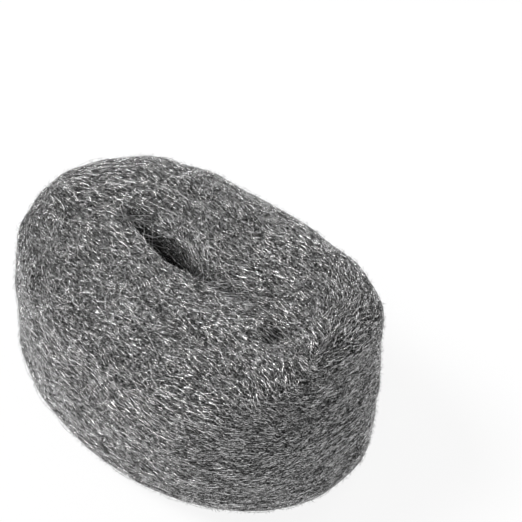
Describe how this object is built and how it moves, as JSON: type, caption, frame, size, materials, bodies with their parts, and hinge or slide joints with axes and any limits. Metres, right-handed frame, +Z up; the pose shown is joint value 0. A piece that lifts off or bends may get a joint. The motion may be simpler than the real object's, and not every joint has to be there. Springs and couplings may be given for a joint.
{
  "type": "steel wool bundle",
  "caption": "Soft oval bundle of fine steel wool, a ribbon wound flat round itself, for rubbing down, cleaning and polishing by hand.",
  "frame": {"origin": "middle of the foot, under the middle of the bundle's box", "axes": "+X along the bundle's length, +Y to the back where the core lies nearer the wall, +Z up along the roll's axis"},
  "size_m": [0.0998, 0.0662, 0.0517],
  "materials": {
    "steel_wool": "fine steel fibres in a loose mat, neutral grey with bright glints"
  },
  "bodies": {
    "root": {"steel_wool_bundle": "steel_wool"}
  },
  "joints": []
}
